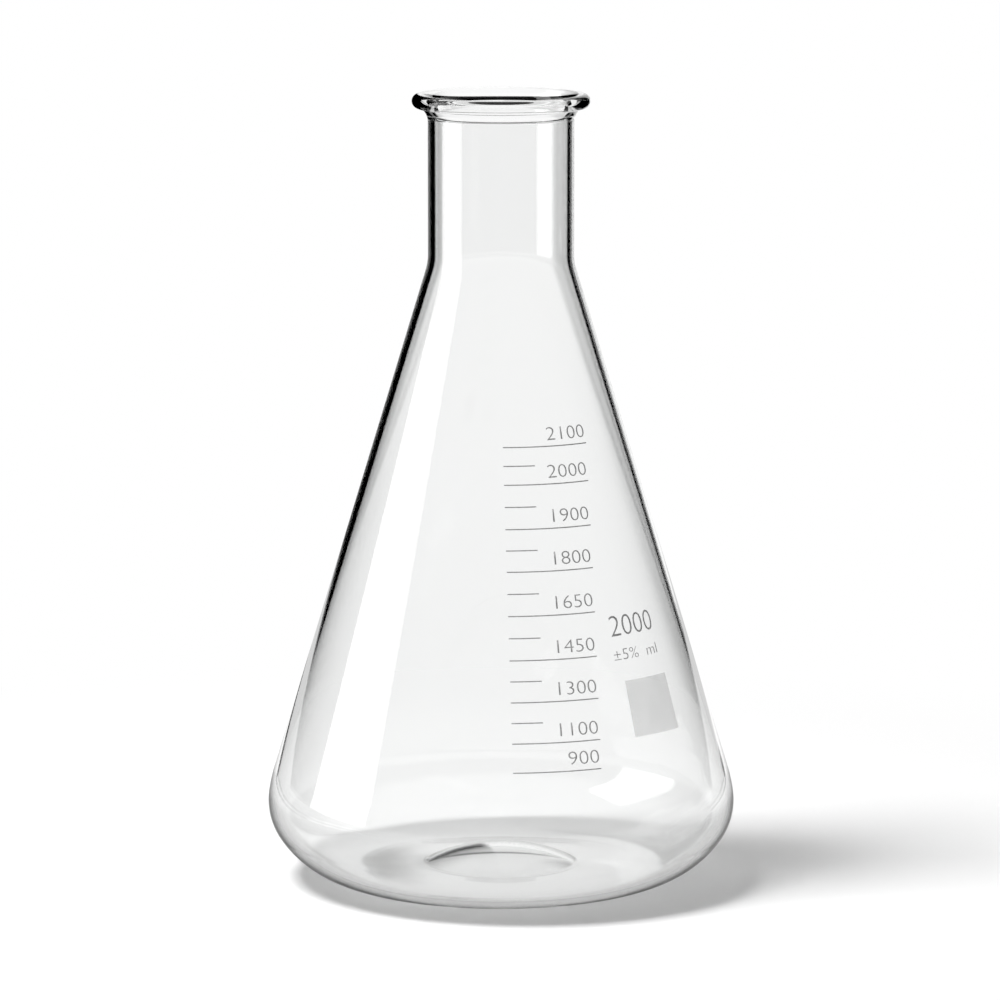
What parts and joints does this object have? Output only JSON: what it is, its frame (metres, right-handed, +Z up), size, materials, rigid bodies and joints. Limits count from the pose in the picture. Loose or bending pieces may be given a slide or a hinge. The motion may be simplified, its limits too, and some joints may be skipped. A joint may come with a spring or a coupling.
{
  "type": "erlenmeyer flask",
  "caption": "Clear glass conical flask with a straight narrow neck, a rounded bead rim, a dished base and a printed volume scale.",
  "frame": {"origin": "centre of the base, on the plane the flask stands on", "axes": "+Z up the flask's axis, out of its mouth; the printed scale faces -Y, a little towards +X"},
  "size_m": [0.166, 0.166, 0.28],
  "materials": {
    "glass": "clear",
    "enamel": "fired enamel print"
  },
  "bodies": {
    "root": {"flask": "glass"}
  },
  "joints": []
}
